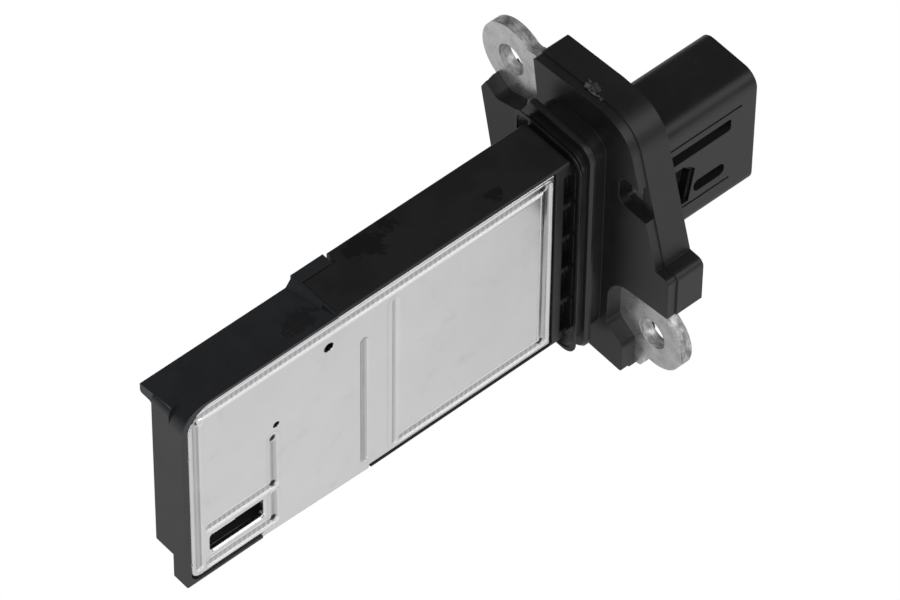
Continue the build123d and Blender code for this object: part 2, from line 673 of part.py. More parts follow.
def make_flange_seal():
    """A rubber band that the duct wall squeezes: a skirt lip in front and a firm lip behind."""
    seal = along_x(seal_profile(SEAL_SIDE_BASE, SEAL_END_BASE), -SEAL_START, -SEAL_END)
    skirt = Plane.YZ.offset(-SEAL_START) * seal_profile(SEAL_SIDE_BASE, SEAL_END_BASE)
    seal += extrude(skirt, amount=-FRONT_LIP_REACH, taper=-FRONT_LIP_ANGLE)
    flare = FRONT_LIP_REACH * tan(radians(FRONT_LIP_ANGLE))
    front = -SEAL_START - FRONT_LIP_REACH
    crest = seal_profile(SEAL_SIDE_BASE + flare, SEAL_END_BASE + flare)
    seal += along_x(crest, front - FRONT_LIP_CREST, front)
    inner_side = SEAL_SIDE_BASE - FRONT_LIP_WALL
    inner_end = SEAL_END_BASE - FRONT_LIP_WALL
    hollow = Plane.YZ.offset(-SEAL_START) * seal_profile(inner_side, inner_end)
    seal -= extrude(hollow, amount=-FRONT_LIP_REACH, taper=-FRONT_LIP_ANGLE)
    mouth = seal_profile(inner_side + flare, inner_end + flare)
    seal -= along_x(mouth, front - FRONT_LIP_CREST, front)
    crest_back = -SEAL_END - REAR_LIP_SETBACK - REAR_LIP_BACK_FLANK
    crest_front = crest_back - REAR_LIP_CREST
    edge = seal_profile(REAR_LIP_SIDE, REAR_LIP_END)
    seal += along_x(edge, crest_front, crest_back)
    seal += along_x(edge, crest_back, crest_back + REAR_LIP_BACK_FLANK, REAR_LIP_ANGLE)
    seal += extrude(
        Plane.YZ.offset(crest_front) * edge, amount=-REAR_LIP_FLANK, taper=REAR_LIP_ANGLE
    )
    return seal - along_x(neck_profile(0, 0), -PROBE_ROOT, 0)


# Base plate


def plate_outline():
    """The base plate in (x, z): a round corner at the tip and a lip along the inlet."""
    inlet_z = PLATE_BOTTOM - PLATE_INLET_DROP
    return rounded([
        (-PLATE_TIP, PLATE_TOP, PLATE_TOP_RADIUS),
        (-PLATE_ROOT, PLATE_TOP, PLATE_ROOT_RADIUS),
        (-PLATE_ROOT, PLATE_BOTTOM, PLATE_ROOT_RADIUS),
        (-PLATE_INLET_START, PLATE_BOTTOM, 0),
        (-PLATE_INLET_START, inlet_z, 0),
        (-PLATE_INLET_END, inlet_z + PLATE_INLET_TILT, 0),
        (-PLATE_INLET_END, PLATE_TIP_BOTTOM, 0),
        (-PLATE_TIP, PLATE_TIP_BOTTOM, PLATE_BOTTOM_RADIUS),
    ])


def bead_lines():
    """Middle lines of the pressed beads, each (x, z, x, z)."""
    tip_end = BEAD_BOTTOM_Z + BEAD_TIP_SHORTFALL
    long_top = BEAD_TOP_Z - LONG_RIB_SHORTFALL
    short_top = BEAD_TOP_Z - SHORT_RIB_SHORTFALL
    short_end = BEAD_BOTTOM_Z + SHORT_RIB_RISE
    return (
        (-BEAD_TIP_X, BEAD_TOP_Z, -BEAD_ROOT_X, BEAD_TOP_Z),
        (-BEAD_TIP_X, tip_end, -BEAD_TIP_X, BEAD_TOP_Z),
        (-BEAD_ROOT_X, BEAD_BOTTOM_Z, -BEAD_ROOT_X, BEAD_TOP_Z),
        (-BEAD_CHAMBER_X, BEAD_BOTTOM_Z, -BEAD_ROOT_X, BEAD_BOTTOM_Z),
        (-LONG_RIB_X, BEAD_BOTTOM_Z, -LONG_RIB_X, long_top),
        (-SHORT_RIB_X, short_end, -SHORT_RIB_X, short_top),
        (-DIVIDER_X, OUTLET_TOP_Z, -DIVIDER_X, DIVIDER_TOP),
        (-OUTLET_TIP_X, OUTLET_TOP_Z, -DIVIDER_X, OUTLET_TOP_Z),
        (-DIVIDER_X, OUTLET_BOTTOM_Z, -DIVIDER_X, OUTLET_TOP_Z - DIVIDER_BREAK),
        (-OUTLET_TIP_X, OUTLET_BOTTOM_Z, -DIVIDER_X, OUTLET_BOTTOM_Z),
    )


def bead_groove(line):
    """The round-ended outline of one bead, in (x, z)."""
    x0, z0, x1, z1 = line
    lies_flat = x1 - x0 > z1 - z0
    slot = SlotCenterToCenter(max(x1 - x0, z1 - z0), BEAD_WIDTH, rotation=0 if lies_flat else 90)
    return Pos((x0 + x1) / 2, (z0 + z1) / 2) * slot


def bead_strip(line, width, low_y, high_y):
    """A square-ended bar along one bead line, half a width longer at each end."""
    x0, z0, x1, z1 = line
    half = width / 2
    return block((x0 - half, low_y, z0 - half), (x1 + half, high_y, z1 + half))


def small_holes():
    """Round holes of the plate: (x, z, diameter)."""
    vent_z = BEAD_TOP_Z - VENT_FROM_BEAD
    pilot_z = DIVIDER_TOP + PILOT_FROM_DIVIDER
    return ((-VENT_X, vent_z, VENT_DIAMETER), (-PILOT_X, pilot_z, PILOT_DIAMETER))


def dimple_places():
    """Small blind dimples between the tip bead and the plate's edge, as (x, z)."""
    x = -PLATE_TIP + DIMPLE_MARGIN
    return ((x, PLATE_TOP / 2), (x, PLATE_TIP_BOTTOM + 2 * PLATE_BOTTOM_RADIUS))


def make_base_plate():
    window = rounded_rectangle(
        -WINDOW_CENTRE_X - WINDOW_LENGTH / 2,
        WINDOW_CENTRE_Z - WINDOW_HEIGHT / 2,
        -WINDOW_CENTRE_X + WINDOW_LENGTH / 2,
        WINDOW_CENTRE_Z + WINDOW_HEIGHT / 2,
        WINDOW_RADIUS,
    )
    plate = along_y(plate_outline() - window, PLATE_OUTER_Y, PLATE_INNER_Y)
    plate = chamfer(plate.faces().sort_by(Axis.Y)[0].edges(), PLATE_EDGE_BEVEL)
    for line in bead_lines():
        plate += bead_strip(line, BEAD_WIDTH, PLATE_INNER_Y, PLATE_INNER_Y + BEAD_RIDGE)
    for line in bead_lines():
        groove = Plane.XZ.offset(-PLATE_OUTER_Y) * bead_groove(line)
        plate -= extrude(groove, amount=-BEAD_DEPTH, taper=BEAD_FLANK_ANGLE)
    for x, z, diameter in small_holes():
        plate -= along_y(Pos(x, z) * Circle(diameter / 2), PLATE_OUTER_Y, PLATE_INNER_Y)
    for x, z in dimple_places():
        spot = Pos(x, z) * Circle(DIMPLE_DIAMETER / 2)
        plate -= along_y(spot, PLATE_OUTER_Y, PLATE_OUTER_Y + DIMPLE_DEPTH)
    return plate


def sealant_channels():
    """The channels under the beads, cut into whatever lies there."""
    channels = Part()
    for line in bead_lines():
        channels += bead_strip(line, CHANNEL_WIDTH, PLATE_INNER_Y, CHANNEL_FLOOR_Y)
    return channels


def make_plate_sealant(channels, carriers, plate):
    """Sealant fills the channels where they run through the carriers."""
    filled = Part()
    for carrier in carriers:
        filled += channels & carrier
    return filled - plate


# Bypass at the tip


def passage_outline(outlet_bottom):
    """The air's way in (x, z): up from the inlet, over the divider and down to the outlet."""
    divider_left = -DIVIDER_X - DIVIDER_WIDTH / 2
    divider_right = -DIVIDER_X + DIVIDER_WIDTH / 2
    divider_top = DIVIDER_TOP + DIVIDER_WIDTH / 2
    return rounded([
        (-HOUSING_END, -PROBE_HEIGHT, 0),
        (-HOUSING_END, PASSAGE_TOP, 0),
        (-PASSAGE_TIP, PASSAGE_TOP, PASSAGE_RADIUS),
        (-PASSAGE_TIP, outlet_bottom, SHARP_CORNER_RADIUS),
        (divider_left, outlet_bottom, SHARP_CORNER_RADIUS),
        (divider_left, divider_top, DIVIDER_END_RADIUS),
        (divider_right, divider_top, DIVIDER_END_RADIUS),
        (divider_right, -PROBE_HEIGHT, 0),
    ])


def under_hood(solid):
    """Keeps a tip piece clear of the housing's hood."""
    clearance = JOINT_CLEARANCE
    return solid - block(
        (-HOOD_END - clearance, FRAME_FRONT_Y, HOOD_UNDERSIDE - clearance),
        (-LAP_END, LAP_STEP_Y + clearance, PROBE_HEIGHT),
    )


def roof_height(y):
    """Height of the tip's roof, which falls a little towards the back."""
    return TIP_ROOF_FRONT - (y - FRAME_FRONT_Y) * TIP_ROOF_SLOPE


def above_roof():
    """What lies above the tip's roof."""
    front_y = FRAME_FRONT_Y - PROBE_THICKNESS
    back_y = TIP_ROOF_BACK_Y + PROBE_THICKNESS
    section = make_face(Polyline(
        (front_y, roof_height(front_y)),
        (back_y, roof_height(back_y)),
        (back_y, PROBE_HEIGHT),
        (front_y, PROBE_HEIGHT),
        close=True,
    ))
    return along_x(section, -TIP_END, -COLLAR_START)


def make_bypass_frame():
    """Front half of the bypass, which the base plate closes."""
    outline = rounded([
        (-TIP_END, TIP_ROOF_FRONT, TIP_CORNER_RADIUS),
        (-FRAME_END, TIP_ROOF_FRONT, 0),
        (-FRAME_END, TIP_BOTTOM, 0),
        (-TIP_END, TIP_BOTTOM, TIP_EDGE_RADIUS),
    ])
    frame = along_y(outline, FRAME_FRONT_Y, FRAME_BACK_Y)
    frame -= above_roof()
    recess = offset(plate_outline(), amount=PLATE_CLEARANCE)
    frame -= along_y(recess, FRAME_FRONT_Y, PLATE_INNER_Y)
    passage = passage_outline(OUTLET_TOP_Z + DIVIDER_WIDTH / 2)
    frame -= along_y(passage, FRAME_FRONT_Y, FRAME_BACK_Y)
    frame -= block(
        (
            -PASSAGE_TIP,
            FRAME_FRONT_Y,
            WINDOW_CENTRE_Z - WINDOW_HEIGHT / 2 - OUTLET_POCKET_MARGIN,
        ),
        (-DIVIDER_X - DIVIDER_WIDTH / 2, FRAME_BACK_Y, OUTLET_TOP_Z - DIVIDER_WIDTH / 2),
    )
    return under_hood(frame)


def roof_overhang():
    """The back part of the tip's roof, on a cove above the trough."""
    underside = TIP_ROOF_BACK - TIP_ROOF_THICKNESS
    foot = underside - 2 * TIP_COVE_RADIUS
    section = rounded([
        (FRAME_BACK_Y, TIP_ROOF_FRONT, 0),
        (TIP_ROOF_BACK_Y, TIP_ROOF_FRONT, 0),
        (TIP_ROOF_BACK_Y, underside, TIP_EDGE_RADIUS),
        (COVER_BACK_Y, underside, TIP_COVE_RADIUS),
        (COVER_BACK_Y, foot, 0),
        (FRAME_BACK_Y, foot, 0),
    ])
    return along_x(section, -TIP_ROOF_END, -COLLAR_START)


def lap_collar():
    """The collar that laps over the housing's end, with its ramp up from the roof."""
    top = PROBE_TOP + COLLAR_PROUD
    end = -HOOD_END - JOINT_CLEARANCE
    ramp = make_face(Polyline(
        (-COLLAR_START - COLLAR_RAMP, TIP_ROOF_BACK),
        (-COLLAR_START, top),
        (-COLLAR_START, HOOD_UNDERSIDE),
        (-COLLAR_START - COLLAR_RAMP, HOOD_UNDERSIDE),
        close=True,
    ))
    collar = along_y(ramp, FRAME_BACK_Y, TIP_ROOF_BACK_Y)
    for low, high in (
        ((-COLLAR_START, COVER_BACK_Y - COVER_FLOOR, COVER_INLET_BOTTOM), (end, PROBE_BACK_Y, top)),
        ((-COLLAR_START, FRAME_BACK_Y, HOOD_UNDERSIDE), (end, PROBE_BACK_Y, top)),
        (
            (-COLLAR_START, LAP_STEP_Y + JOINT_CLEARANCE, COVER_INLET_BOTTOM),
            (-LAP_END - LAP_GAP, PROBE_BACK_Y, top),
        ),
    ):
        collar += block(low, high)
    return collar


def make_bypass_cover():
    """Back half of the bypass: a trough with a roof that overhangs it, and the lap joint."""
    outline = rounded([
        (-TIP_END, roof_height(FRAME_BACK_Y), COVER_CORNER_RADIUS),
        (-FRAME_END, roof_height(FRAME_BACK_Y), 0),
        (-FRAME_END, COVER_INLET_BOTTOM, 0),
        (-TIP_BOTTOM_END, COVER_INLET_BOTTOM, TIP_EDGE_RADIUS),
        (-TIP_BOTTOM_END, COVER_BOTTOM, 0),
        (-TIP_END, COVER_BOTTOM, TIP_EDGE_RADIUS),
    ])
    cover = along_y(outline, FRAME_BACK_Y, COVER_BACK_Y)
    passage = passage_outline(COVER_BOTTOM + TROUGH_WALL)
    cover += roof_overhang()
    cover -= along_y(passage, FRAME_BACK_Y, COVER_BACK_Y - COVER_FLOOR)
    cover -= above_roof()
    return under_hood(cover + lap_collar())


# Circuit cover


def make_circuit_cover():
    outer = PROBE_BACK_Y
    cover = along_y(circuit_cover_outline(0), outer - CIRCUIT_COVER_THICKNESS, outer)
    cover = chamfer(cover.faces().sort_by(Axis.Y)[-1].edges(), COVER_PAD_HEIGHT)
    pad = offset(circuit_cover_outline(0), amount=-COVER_PAD_MARGIN)
    return cover - along_y(pad, outer - COVER_PAD_HEIGHT, outer)


def make_cover_sealant():
    """The bead that holds the circuit cover in its rebate."""
    bead = circuit_cover_outline(COVER_GLUE_GAP)
    opening = chamber_outline(CHAMBER_TIP + PIN_LEDGE, CHAMBER_ROOT)
    ring = along_y(bead - opening, COVER_RECESS_Y, PROBE_BACK_Y - COVER_PAD_HEIGHT)
    return ring - make_circuit_cover()


# Circuit board


def board_slab(low_y, high_y):
    """A slab with the board's outline, between two heights."""
    return block((-BOARD_TIP, low_y, BOARD_BOTTOM), (-BOARD_ROOT, high_y, BOARD_TOP))


def make_circuit_board():
    return board_slab(BOARD_FRONT_Y, BOARD_BACK_Y)


def make_board_glue():
    return board_slab(PLATE_INNER_Y, BOARD_FRONT_Y)


def board_part(x, z, length, width, height):
    """A small part that stands on the board."""
    return block(
        (x - length / 2, BOARD_BACK_Y, z - width / 2),
        (x + length / 2, BOARD_BACK_Y + height, z + width / 2),
    )


def board_middle_x():
    return -(BOARD_TIP + BOARD_ROOT) / 2


def make_control_chip():
    return board_part(board_middle_x(), CHAMBER_MIDDLE_Z, CHIP_SIZE, CHIP_SIZE, CHIP_HEIGHT)


def make_power_transistor():
    z = BOARD_TOP - TRANSISTOR_WIDTH
    return board_part(board_middle_x(), z, TRANSISTOR_LENGTH, TRANSISTOR_WIDTH, TRANSISTOR_HEIGHT)


def make_capacitors():
    z = BOARD_BOTTOM + 2 * CAPACITOR_WIDTH
    return [
        board_part(
            board_middle_x() + (i - (CAPACITOR_COUNT - 1) / 2) * CAPACITOR_PITCH,
            z,
            CAPACITOR_WIDTH,
            CAPACITOR_LENGTH,
            CAPACITOR_HEIGHT,
        )
        for i in range(CAPACITOR_COUNT)
    ]


def make_resistors():
    x = board_middle_x() - CHIP_SIZE / 2 - 2 * RESISTOR_WIDTH
    return [
        board_part(
            x,
            CHAMBER_MIDDLE_Z + (i - (RESISTOR_COUNT - 1) / 2) * RESISTOR_PITCH,
            RESISTOR_WIDTH,
            RESISTOR_LENGTH,
            RESISTOR_HEIGHT,
        )
        for i in range(RESISTOR_COUNT)
    ]


def bond_lead(z, start, end):
    """A ribbon that rises from one (x, y) pad and comes down on another."""
    (x0, y0), (x1, y1) = sorted((start, end))
    half = LEAD_THICKNESS / 2
    top = max(y0, y1) + LEAD_RISE
    ribbon = make_face(Polyline(
        (x0 - half, y0),
        (x0 - half, top + half),
        (x1 + half, top + half),
        (x1 + half, y1),
        (x1 - half, y1),
        (x1 - half, top - half),
        (x0 + half, top - half),
        (x0 + half, y0),
        close=True,
    ))
    return extrude(Plane.XY.offset(z - LEAD_WIDTH / 2) * ribbon, amount=LEAD_WIDTH)


def make_terminal_leads():
    pad = (-CHAMBER_ROOT - TERMINAL_LEDGE / 2, TERMINAL_BACK_Y)
    board = (-BOARD_ROOT - 2 * LEAD_WIDTH, BOARD_BACK_Y)
    return [bond_lead(z, board, pad) for z in TERMINAL_PLACES]


def make_sensor_leads():
    pad = (-CHAMBER_TIP - PIN_LEDGE / 2, SENSOR_PIN_BACK_Y)
    board = (-BOARD_TIP + 2 * LEAD_WIDTH, BOARD_BACK_Y)
    return [bond_lead(z, pad, board) for z in SENSOR_PIN_PLACES]


# Connector terminals


def make_terminal(z):
    """A blade from the socket through the neck to its pad in the chamber."""
    tip = SOCKET_FLOOR + TERMINAL_REACH
    pad = -CHAMBER_ROOT - TERMINAL_LEDGE
    blade = TERMINAL_WIDTH / 2
    body = TERMINAL_BODY_WIDTH / 2
    point = TERMINAL_POINT_WIDTH / 2
    shoulder = SOCKET_FLOOR - TERMINAL_BODY_WIDTH
    upper = [(pad, body), (shoulder, body), (shoulder, blade), (tip - TERMINAL_POINT, blade), (tip, point)]
    lower = [(x, -v) for x, v in reversed(upper)]
    outline = Pos(0, z) * make_face(Polyline(*upper, *lower, close=True))
    return along_y(outline, TERMINAL_FRONT_Y, TERMINAL_BACK_Y)


# Sensing elements


def make_sensor_pin(z):
    """A square pin from its pad in the chamber out into the bypass."""
    half = SENSOR_PIN_SIZE / 2
    return block(
        (-HOUSING_END - SENSOR_PIN_REACH, SENSOR_PIN_FRONT_Y, z - half),
        (-CHAMBER_TIP, SENSOR_PIN_BACK_Y, z + half),
    )


def element_between_pins(middle, body):
    """A sensing element whose wires end on the facing sides of two pins."""
    wire = Cylinder(ELEMENT_WIRE_DIAMETER / 2, SENSOR_PIN_SPACING - SENSOR_PIN_SIZE)
    x = -HOUSING_END - SENSOR_PIN_REACH + ELEMENT_SETBACK
    return Pos(x, SENSOR_PIN_Y, middle) * (wire + body)


def make_heating_resistor():
    body = Cylinder(HEATER_DIAMETER / 2, HEATER_LENGTH)
    return element_between_pins(SENSOR_PAIR_PLACES[0], body)


def make_temperature_resistor():
    body = Cylinder(REFERENCE_DIAMETER / 2, REFERENCE_LENGTH)
    return element_between_pins(SENSOR_PAIR_PLACES[1], body)


def make_thermistor():
    body = Cylinder(THERMISTOR_DIAMETER / 2, THERMISTOR_LENGTH)
    return element_between_pins(SENSOR_PAIR_PLACES[2], body)


# The whole sensor, one entry for each node


def make_sensor():
    terminals = {f"terminal_{i + 1}": make_terminal(z) for i, z in enumerate(TERMINAL_PLACES)}
    pins = {f"sensor_pin_{i + 1}": make_sensor_pin(z) for i, z in enumerate(SENSOR_PIN_PLACES)}
    mounting_plate = make_mounting_plate()
    base_plate = make_base_plate()
    inlays = [mounting_plate, *terminals.values(), *pins.values()]
    channels = sealant_channels()
    housing = make_housing(inlays)
    bypass_frame = make_bypass_frame()
    return {
        "housing": housing - channels,
        "mounting_plate": mounting_plate,
        "flange_seal": make_flange_seal(),
        "base_plate": base_plate,
        "plate_sealant": make_plate_sealant(channels, (housing, bypass_frame), base_plate),
        "bypass_frame": bypass_frame - channels,
        "bypass_cover": make_bypass_cover(),
        "circuit_cover": make_circuit_cover(),
        "cover_sealant": make_cover_sealant(),
        "circuit_board": make_circuit_board(),
        "board_glue": make_board_glue(),
        "control_chip": make_control_chip(),
        "power_transistor": make_power_transistor(),
        "capacitors": make_capacitors(),
        "resistors": make_resistors(),
        "terminal_leads": make_terminal_leads(),
        "sensor_leads": make_sensor_leads(),
        "heating_resistor": make_heating_resistor(),
        "temperature_resistor": make_temperature_resistor(),
        "intake_thermistor": make_thermistor(),
        **terminals,
        **pins,
    }


def write(nodes):
    os.makedirs("parts", exist_ok=True)
    for name, shape in nodes.items():
        solids = shape if isinstance(shape, list) else [shape]
        flat = [solid for piece in solids for solid in piece.solids()]
        whole = flat[0] if len(flat) == 1 else Compound(children=flat)
        export_step(whole, f"parts/{name}.step")


write(make_sensor())
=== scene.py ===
"""Looks of the plug-in mass airflow sensor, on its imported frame, in metres."""

import math

import bmesh
import bpy
from mathutils import Matrix, Vector, noise


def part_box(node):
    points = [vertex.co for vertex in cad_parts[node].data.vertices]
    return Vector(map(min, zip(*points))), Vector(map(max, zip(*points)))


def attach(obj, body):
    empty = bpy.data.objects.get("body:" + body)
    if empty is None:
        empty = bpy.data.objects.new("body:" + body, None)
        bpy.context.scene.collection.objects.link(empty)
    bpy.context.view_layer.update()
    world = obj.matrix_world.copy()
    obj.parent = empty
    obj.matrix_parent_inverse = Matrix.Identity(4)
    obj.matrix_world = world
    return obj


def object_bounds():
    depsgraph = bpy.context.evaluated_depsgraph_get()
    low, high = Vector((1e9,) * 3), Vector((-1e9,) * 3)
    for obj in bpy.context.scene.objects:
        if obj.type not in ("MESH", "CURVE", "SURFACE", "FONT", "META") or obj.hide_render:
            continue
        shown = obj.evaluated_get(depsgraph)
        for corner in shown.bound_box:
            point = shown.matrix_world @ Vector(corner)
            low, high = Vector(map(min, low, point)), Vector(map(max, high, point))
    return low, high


MM = 0.001

# Camera at the photograph's viewing angle
CAMERA_AZIMUTH = -41.58
CAMERA_ELEVATION = 50.63
CAMERA_ROLL = 0.80
CAMERA_DISTANCE = 856.0 * MM
CAMERA_TARGET = Vector((-18.50, 3.177, -8.098)) * MM
CAMERA_LENS = 280.0
CAMERA_NEAR = 0.01
CAMERA_FAR = 50
SENSOR_WIDTH = 36.0

# Studio floor and sky; the sky's greys run from behind and above the part to in front and below
FLOOR_DROP = 150 * MM
FLOOR_SIZE = 6.0
FLOOR_COLOUR = (0.9, 0.9, 0.9)
FLOOR_ROUGHNESS = 0.9
WHITE = (1.0, 1.0, 1.0)
SKY_BRIGHT_WAY = (-0.35, -0.75, -0.55)
SKY_STOPS = [(0.0, 0.16), (0.3, 0.12), (0.65, 0.25), (1.0, 0.4)]

# The floor's painted reflection, which only metal and gloss see, in metres: painted shade in greys along x,
# a painted paler front, and two painted shadow spots
PAINTED_REFLECTION_ALONG_X = [(-0.16, 0.74), (-0.11, 0.68), (0.04, 0.67), (0.10, 0.58), (0.20, 0.62), (0.50, 0.9)]
# Painted light: the floor's reflection turns pale in front of FRONT_Y, over FRONT_FADE
FRONT_Y = -0.165
FRONT_FADE = 0.06
PAINTED_FRONT_LIGHT = 0.95

# Painted shadows in the floor's reflection as (x, y, reach, grey)
PAINTED_SHADOW_SPOTS = ((0.11, 0.04, 0.045, 0.05), (-0.078, 0.105, 0.085, 0.04))

# Soft lamps as (name, place, width, height, power), turned towards the part
LAMPS = (
    ("key", (-0.9, -0.7, 1.1), 1.4, 1.4, 9.0),
    ("front", (0.65, -0.98, 1.0), 1.2, 1.0, 5.5),
)

# Rounding of moulded, pressed and sheared edges
HOUSING_EDGE = 0.14 * MM
TIP_EDGE = 0.05 * MM
SHEET_EDGE = 0.22 * MM
SHEARED_EDGE = 0.12 * MM
LIP_EDGE = 0.10 * MM
EDGE_SAMPLES = 6

# Black plastic: colours of its bloom and of the clean patches, pale specks, and its gloss
HOUSING_BLOOM = (0.0132, 0.0136, 0.0150)
HOUSING_CLEAN = (0.0020, 0.0020, 0.0024)
TIP_BLOOM = (0.0190, 0.0204, 0.0246)
TIP_CLEAN = (0.0070, 0.0075, 0.0092)
SPECK = (0.05, 0.052, 0.055)
BLOOM_ROUGHNESS = 0.46
CLEAN_ROUGHNESS = 0.30
CLOUD_ROUGHNESS = 0.40
PLASTIC_IOR = 1.5

# Handling marks on the plastic as (x, y, z, reach), in millimetres
PROBE_MARKS = ((-34.2, 1.2, 16.9, 7.0), (-30.0, 1.5, 16.9, 3.6), (-17.6, -3.2, 16.9, 3.2))
TIP_MARKS = ((-46.8, -2.4, 16.9, 5.0), (-49.0, -2.9, 16.9, 4.0))

# Aluminium sheet: its colours, and the painted shade of the beads by depth, with a chatter wave in the
# shaded bottoms
SHEET_DARK = (0.85, 0.85, 0.853)
SHEET_PALE = (0.92, 0.92, 0.92)
SHEET_STAIN = (0.62, 0.62, 0.625)
CHATTER_PITCH = 0.75 * MM
# The beads' bottoms: painted shade, from pale to dark along the chatter wave
CHATTER_AND_SHADE_PALE = 0.66
CHATTER_AND_SHADE_DARK = 0.50
# Depth that the painted shade is spread over, and the near-black painted shade at the press marks
PAINTED_SHADE_DEPTH = 0.4 * MM
PRESS_MARK_PAINTED_SHADE = 0.04

# Zinc on the steel insert: colours of its face, which looks along x, and of its sheared edges
ZINC_DARK = (0.71, 0.71, 0.705)
ZINC_PALE = (0.90, 0.90, 0.895)
ZINC_PIT = (0.48, 0.48, 0.48)
SHEARED_DARK = (0.22, 0.22, 0.225)
SHEARED_MIDDLE = (0.50, 0.50, 0.505)
SHEARED_PALE = (0.85, 0.85, 0.85)
ZINC_METALLIC = 0.88
SHEARED_METALLIC_LOSS = 0.38
SHEARED_ROUGHNESS_GAIN = 0.12
FACE_NORMAL_X = 0.5

# Rubber of the seal, and the inside of the plastic at the broken gate
RUBBER_DARK = (0.009, 0.009, 0.0095)
RUBBER_PALE = (0.017, 0.017, 0.018)
RUBBER_DUST = (0.05, 0.05, 0.052)
TORN_DARK = (0.010, 0.011, 0.011)
TORN_MIDDLE = (0.06, 0.068, 0.066)
TORN_PALE = (0.20, 0.215, 0.21)

# Finishes of the inner parts as (colour, roughness, metallic), and how far each wanders
INNER_FINISHES = {
    "tinned_contact": ((0.68, 0.66, 0.58), 0.28, 1.0),
    "chip_resin": ((0.02, 0.02, 0.022), 0.5, 0.0),
    "cured_silicone": ((0.13, 0.13, 0.14), 0.5, 0.0),
    "drawn_ribbon": ((0.8, 0.8, 0.81), 0.25, 1.0),
    "glass_coat": ((0.62, 0.58, 0.46), 0.2, 0.0),
    "fired_alumina": ((0.78, 0.78, 0.73), 0.45, 0.0),
    "capacitor_ceramic": ((0.45, 0.33, 0.2), 0.4, 0.0),
    "resistor_film": ((0.05, 0.05, 0.055), 0.35, 0.0),
}
COLOUR_SPREAD = 0.12
ROUGHNESS_SPREAD = 0.15

# Pressed beads of the plate: their middle lines as (x, z, x, z), in millimetres
BEADS = (
    (-64.25, 14.75, -10.7, 14.75),
    (-65.05, 14.4, -64.25, 14.75),
    (-65.4, 13.6, -65.05, 14.4),
    (-65.4, -13.4, -65.4, 13.6),
    (-10.7, -14.4, -10.7, 14.75),
    (-33.5, -14.4, -10.7, -14.4),
    (-53.7, -7.0, -53.7, 1.9),
    (-63.7, -7.0, -53.7, -7.0),
    (-53.7, -13.8, -53.7, -9.0),
    (-63.7, -13.8, -53.7, -13.8),
)
SHORT_RIB = (-39.5, -13.8, -39.5, 8.7)
LONG_RIB = (-34.9, -14.4, -34.9, 12.4)

# Sections of the beads, in millimetres: half width at the face and at the bottom, depth, height of lips
BEAD_SECTION = (0.84, 0.24, 0.155, 0.045)
SHORT_RIB_SECTION = (0.56, 0.42, 0.15, 0.0)
LONG_RIB_SECTION = (0.95, 0.12, 0.135, 0.0)
PRESSED_LINES = (
    *((line, BEAD_SECTION) for line in BEADS),
    (SHORT_RIB, SHORT_RIB_SECTION),
    (LONG_RIB, LONG_RIB_SECTION),
)

# Reach of a bead's lips, lift of the skin off the sheet and spacing of its points, in millimetres
BEAD_LIP_REACH = 0.24
BEAD_LIFT = 0.01
BEAD_CELL = 0.085

# Ends where the press left a deeper mark, as (x, z), with its reach and depth, in millimetres
PRESS_MARKS = (
    (-64.9, 13.9),
    (-11.2, 14.75),
    (-11.1, -14.2),
    (-53.7, 1.7),
    (-53.8, -6.9),
    (-53.8, -13.6),
)
PRESS_REACH = 0.75
PRESS_DEPTH = 0.22

# The plate's rounded corner at the tip: its centre and reach, and the flat outside the bead, in millimetres
PLATE_CORNER = (-63.1, 12.8)
PLATE_CORNER_REACH = 3.35
CORNER_FLAT = (-65.4, 14.75)
CORNER_FLAT_REACH = 0.75

# Broken moulding gate on the flange's crown: its middle and half sizes, in millimetres
GATE_MIDDLE = Vector((-0.45, -2.6, 22.25))
GATE_HALF = Vector((0.85, 2.0, 0.32))
GATE_BELOW_CROWN = 0.01

# Lumps and cracks of the broken gate: how many to its radius, where their pattern starts, how deep
GATE_SUBDIVISIONS = 5
GATE_LUMPS = 2.3
GATE_LUMP_START = Vector((3.1, 0, 0))
GATE_LUMP_FALLOFF = 0.9
GATE_LUMP_STEP = 2.1
GATE_LUMP_LEVELS = 6
GATE_LUMP_DEPTH = 0.55
GATE_CRACKS = 5.0
GATE_CRACK_START = Vector((0, 7.7, 0))
GATE_CRACK_DEPTH = 0.35

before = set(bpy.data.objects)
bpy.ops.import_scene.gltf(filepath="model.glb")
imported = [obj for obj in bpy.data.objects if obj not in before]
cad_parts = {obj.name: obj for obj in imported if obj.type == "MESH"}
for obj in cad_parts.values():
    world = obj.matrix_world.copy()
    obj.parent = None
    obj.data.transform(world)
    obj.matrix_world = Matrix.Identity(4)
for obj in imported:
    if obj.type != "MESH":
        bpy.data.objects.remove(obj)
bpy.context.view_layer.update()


def grey(level):
    """A colour whose red, green and blue are the same."""
    return (level, level, level)


def material(name):
    """A fresh node material: returns it with its node tree and its main shader."""
    mat = bpy.data.materials.new(name)
    mat.use_nodes = True
    tree = mat.node_tree
    return mat, tree, tree.nodes["Principled BSDF"]


